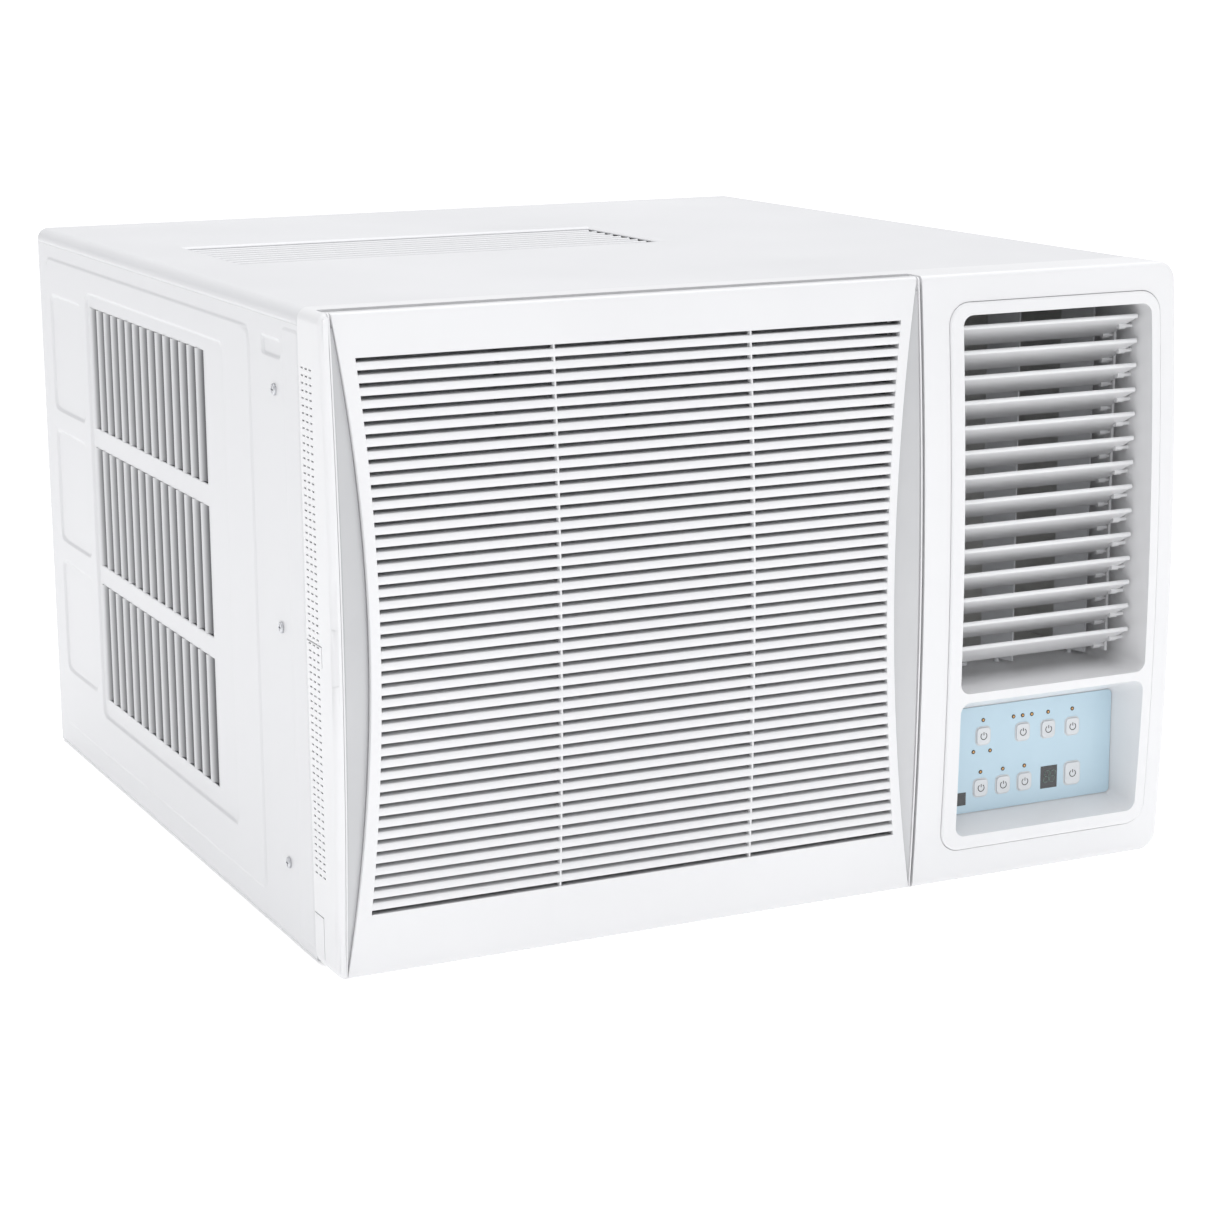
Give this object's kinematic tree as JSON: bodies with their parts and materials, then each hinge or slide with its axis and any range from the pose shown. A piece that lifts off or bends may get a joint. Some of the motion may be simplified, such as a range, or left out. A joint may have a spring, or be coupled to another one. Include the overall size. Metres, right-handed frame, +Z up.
{
  "type": "window air conditioner",
  "caption": "Window air conditioner with a slatted intake grille, tilting outlet louvres over swinging vanes, a recessed control panel, a louvred steel cabinet and its fan and cooling circuit.",
  "frame": {"origin": "bottom centre of the whole unit, on the underside of the base pan", "axes": "+Z up; the room side with the grille and controls faces -Y; +X to the right of someone looking at the front; +Y to the outdoor side"},
  "size_m": [0.6618, 0.7, 0.445],
  "materials": {
    "moulded_white": "fine satin moulded plastic, cool white",
    "silver_trim": "satin silver paint",
    "filter_black": "matt moulded",
    "filter_net": "fine woven net",
    "overlay_blue": "semi-gloss printed film, pale blue",
    "button_grey": "satin light grey",
    "circuit_board": "solder mask",
    "led_lens": "smoked lens",
    "dark_window": "smoked window",
    "vane_plastic": "satin moulded plastic",
    "coated_sheet": "powder coated sheet steel, cool white",
    "plated_steel": "zinc plated",
    "black_rubber": "matt",
    "galvanised_sheet": "galvanised sheet",
    "foam_duct": "moulded foam",
    "fan_plastic": "glass filled plastic",
    "shaft_steel": "ground steel",
    "fin_aluminium": "bare fin stock",
    "copper_tube": "bare copper",
    "compressor_black": "black enamel",
    "capacitor_can": "drawn can"
  },
  "bodies": {
    "cabinet": {"front_frame": "moulded_white", "filter_frame": "filter_black", "filter_mesh": "filter_net", "outlet_bezel": "moulded_white", "control_overlay": "overlay_blue", "control_board": "circuit_board", "status_leds": "led_lens", "display_windows": "dark_window", "swing_motor": "plated_steel", "cabinet_shell": "coated_sheet", "cabinet_screws": "plated_steel", "cord_gland": "black_rubber", "base_pan": "galvanised_sheet", "blower_scroll": "foam_duct", "scroll_covers": "foam_duct", "fan_shroud": "galvanised_sheet", "partition_panel": "galvanised_sheet", "fan_motor": "plated_steel", "evaporator_fins": "fin_aluminium", "evaporator_tubes": "copper_tube", "condenser_fins": "fin_aluminium", "condenser_tubes": "copper_tube", "compressor": "compressor_black", "compressor_grommets": "black_rubber", "refrigerant_pipes": "copper_tube", "control_box": "galvanised_sheet", "run_capacitor": "capacitor_can"},
    "grille": {"intake_grille": "moulded_white", "grille_trims": "silver_trim"},
    "fan_rotor": {"fan_shaft": "shaft_steel", "blower_wheel": "fan_plastic", "condenser_fan": "fan_plastic"},
    "louvre_01": {"louvre_01": "moulded_white"},
    "louvre_02": {"louvre_02": "moulded_white"},
    "louvre_03": {"louvre_03": "moulded_white"},
    "louvre_04": {"louvre_04": "moulded_white"},
    "louvre_05": {"louvre_05": "moulded_white"},
    "louvre_06": {"louvre_06": "moulded_white"},
    "louvre_07": {"louvre_07": "moulded_white"},
    "louvre_08": {"louvre_08": "moulded_white"},
    "louvre_09": {"louvre_09": "moulded_white"},
    "louvre_10": {"louvre_10": "moulded_white"},
    "louvre_11": {"louvre_11": "moulded_white"},
    "louvre_12": {"louvre_12": "moulded_white"},
    "louvre_13": {"louvre_13": "moulded_white"},
    "louvre_14": {"louvre_14": "moulded_white"},
    "louvre_link": {"louvre_link": "moulded_white"},
    "vane_1": {"vane_1": "vane_plastic"},
    "vane_2": {"vane_2": "vane_plastic"},
    "vane_3": {"vane_3": "vane_plastic"},
    "swing_crank": {"swing_crank": "vane_plastic"},
    "vane_link": {"vane_link": "vane_plastic"},
    "button_mode": {"button_mode": "button_grey"},
    "button_sleep": {"button_sleep": "button_grey"},
    "button_fan_speed": {"button_fan_speed": "button_grey"},
    "button_timer": {"button_timer": "button_grey"},
    "button_swing": {"button_swing": "button_grey"},
    "button_filter": {"button_filter": "button_grey"},
    "button_turbo": {"button_turbo": "button_grey"},
    "button_power": {"button_power": "button_grey"}
  },
  "joints": [
    {"name": "grille_hinge", "type": "hinge", "parent": "cabinet", "child": "grille", "pos_m": [-0.1, -0.328, 0.436], "axis": [-1, 0, 0], "range_deg": [0, 60]},
    {"name": "fan_spin", "type": "hinge", "parent": "cabinet", "child": "fan_rotor", "pos_m": [-0.095, 0, 0.232], "axis": [0, 1, 0], "continuous": true},
    {"name": "louvre_01_tilt", "type": "hinge", "parent": "cabinet", "child": "louvre_01", "pos_m": [0.227, -0.318, 0.397], "axis": [1, 0, 0], "range_deg": [-12, 58]},
    {"name": "louvre_02_tilt", "type": "hinge", "parent": "cabinet", "child": "louvre_02", "pos_m": [0.227, -0.318, 0.379], "axis": [1, 0, 0], "range_deg": [-12, 58]},
    {"name": "louvre_03_tilt", "type": "hinge", "parent": "cabinet", "child": "louvre_03", "pos_m": [0.227, -0.318, 0.361], "axis": [1, 0, 0], "range_deg": [-12, 58]},
    {"name": "louvre_04_tilt", "type": "hinge", "parent": "cabinet", "child": "louvre_04", "pos_m": [0.227, -0.318, 0.343], "axis": [1, 0, 0], "range_deg": [-12, 58]},
    {"name": "louvre_05_tilt", "type": "hinge", "parent": "cabinet", "child": "louvre_05", "pos_m": [0.227, -0.318, 0.325], "axis": [1, 0, 0], "range_deg": [-12, 58]},
    {"name": "louvre_06_tilt", "type": "hinge", "parent": "cabinet", "child": "louvre_06", "pos_m": [0.227, -0.318, 0.307], "axis": [1, 0, 0], "range_deg": [-12, 58]},
    {"name": "louvre_07_tilt", "type": "hinge", "parent": "cabinet", "child": "louvre_07", "pos_m": [0.227, -0.318, 0.289], "axis": [1, 0, 0], "range_deg": [-12, 58]},
    {"name": "louvre_08_tilt", "type": "hinge", "parent": "cabinet", "child": "louvre_08", "pos_m": [0.227, -0.318, 0.271], "axis": [1, 0, 0], "range_deg": [-12, 58]},
    {"name": "louvre_09_tilt", "type": "hinge", "parent": "cabinet", "child": "louvre_09", "pos_m": [0.227, -0.318, 0.253], "axis": [1, 0, 0], "range_deg": [-12, 58]},
    {"name": "louvre_10_tilt", "type": "hinge", "parent": "cabinet", "child": "louvre_10", "pos_m": [0.227, -0.318, 0.235], "axis": [1, 0, 0], "range_deg": [-12, 58]},
    {"name": "louvre_11_tilt", "type": "hinge", "parent": "cabinet", "child": "louvre_11", "pos_m": [0.227, -0.318, 0.217], "axis": [1, 0, 0], "range_deg": [-12, 58]},
    {"name": "louvre_12_tilt", "type": "hinge", "parent": "cabinet", "child": "louvre_12", "pos_m": [0.227, -0.318, 0.199], "axis": [1, 0, 0], "range_deg": [-12, 58]},
    {"name": "louvre_13_tilt", "type": "hinge", "parent": "cabinet", "child": "louvre_13", "pos_m": [0.227, -0.318, 0.181], "axis": [1, 0, 0], "range_deg": [-12, 58]},
    {"name": "louvre_14_tilt", "type": "hinge", "parent": "cabinet", "child": "louvre_14", "pos_m": [0.227, -0.318, 0.163], "axis": [1, 0, 0], "range_deg": [-12, 58]},
    {"name": "louvre_link_pivot", "type": "hinge", "parent": "louvre_01", "child": "louvre_link", "pos_m": [0.3, -0.306, 0.3892], "axis": [1, 0, 0], "range_deg": [-58, 12]},
    {"name": "vane_1_swing", "type": "hinge", "parent": "cabinet", "child": "vane_1", "pos_m": [0.162, -0.272, 0.28], "axis": [0, 0, -1], "range_deg": [-17, 53]},
    {"name": "vane_2_swing", "type": "hinge", "parent": "cabinet", "child": "vane_2", "pos_m": [0.227, -0.272, 0.28], "axis": [0, 0, -1], "range_deg": [-17, 53]},
    {"name": "vane_3_swing", "type": "hinge", "parent": "cabinet", "child": "vane_3", "pos_m": [0.292, -0.272, 0.28], "axis": [0, 0, -1], "range_deg": [-17, 53]},
    {"name": "swing_crank_turn", "type": "hinge", "parent": "cabinet", "child": "swing_crank", "pos_m": [0.195, -0.272, 0.14], "axis": [0, 0, -1], "range_deg": [-17, 53]},
    {"name": "vane_link_pivot", "type": "hinge", "parent": "vane_1", "child": "vane_link", "pos_m": [0.15891, -0.26249, 0.148], "axis": [0, 0, -1], "range_deg": [-53, 17]},
    {"name": "button_mode_press", "type": "slide", "parent": "cabinet", "child": "button_mode", "axis": [0, 1, 0], "range_m": [0, 0.0008], "stiffness_N_per_m": 600},
    {"name": "button_sleep_press", "type": "slide", "parent": "cabinet", "child": "button_sleep", "axis": [0, 1, 0], "range_m": [0, 0.0008], "stiffness_N_per_m": 600},
    {"name": "button_fan_speed_press", "type": "slide", "parent": "cabinet", "child": "button_fan_speed", "axis": [0, 1, 0], "range_m": [0, 0.0008], "stiffness_N_per_m": 600},
    {"name": "button_timer_press", "type": "slide", "parent": "cabinet", "child": "button_timer", "axis": [0, 1, 0], "range_m": [0, 0.0008], "stiffness_N_per_m": 600},
    {"name": "button_swing_press", "type": "slide", "parent": "cabinet", "child": "button_swing", "axis": [0, 1, 0], "range_m": [0, 0.0008], "stiffness_N_per_m": 600},
    {"name": "button_filter_press", "type": "slide", "parent": "cabinet", "child": "button_filter", "axis": [0, 1, 0], "range_m": [0, 0.0008], "stiffness_N_per_m": 600},
    {"name": "button_turbo_press", "type": "slide", "parent": "cabinet", "child": "button_turbo", "axis": [0, 1, 0], "range_m": [0, 0.0008], "stiffness_N_per_m": 600},
    {"name": "button_power_press", "type": "slide", "parent": "cabinet", "child": "button_power", "axis": [0, 1, 0], "range_m": [0, 0.0008], "stiffness_N_per_m": 600}
  ],
  "couplings": [
    {"joint": "louvre_02_tilt", "follows": "louvre_01_tilt", "ratio": 1},
    {"joint": "louvre_03_tilt", "follows": "louvre_01_tilt", "ratio": 1},
    {"joint": "louvre_04_tilt", "follows": "louvre_01_tilt", "ratio": 1},
    {"joint": "louvre_05_tilt", "follows": "louvre_01_tilt", "ratio": 1},
    {"joint": "louvre_06_tilt", "follows": "louvre_01_tilt", "ratio": 1},
    {"joint": "louvre_07_tilt", "follows": "louvre_01_tilt", "ratio": 1},
    {"joint": "louvre_08_tilt", "follows": "louvre_01_tilt", "ratio": 1},
    {"joint": "louvre_09_tilt", "follows": "louvre_01_tilt", "ratio": 1},
    {"joint": "louvre_10_tilt", "follows": "louvre_01_tilt", "ratio": 1},
    {"joint": "louvre_11_tilt", "follows": "louvre_01_tilt", "ratio": 1},
    {"joint": "louvre_12_tilt", "follows": "louvre_01_tilt", "ratio": 1},
    {"joint": "louvre_13_tilt", "follows": "louvre_01_tilt", "ratio": 1},
    {"joint": "louvre_14_tilt", "follows": "louvre_01_tilt", "ratio": 1},
    {"joint": "louvre_link_pivot", "follows": "louvre_01_tilt", "ratio": -1},
    {"joint": "vane_2_swing", "follows": "vane_1_swing", "ratio": 1},
    {"joint": "vane_3_swing", "follows": "vane_1_swing", "ratio": 1},
    {"joint": "swing_crank_turn", "follows": "vane_1_swing", "ratio": 1},
    {"joint": "vane_link_pivot", "follows": "vane_1_swing", "ratio": -1}
  ]
}
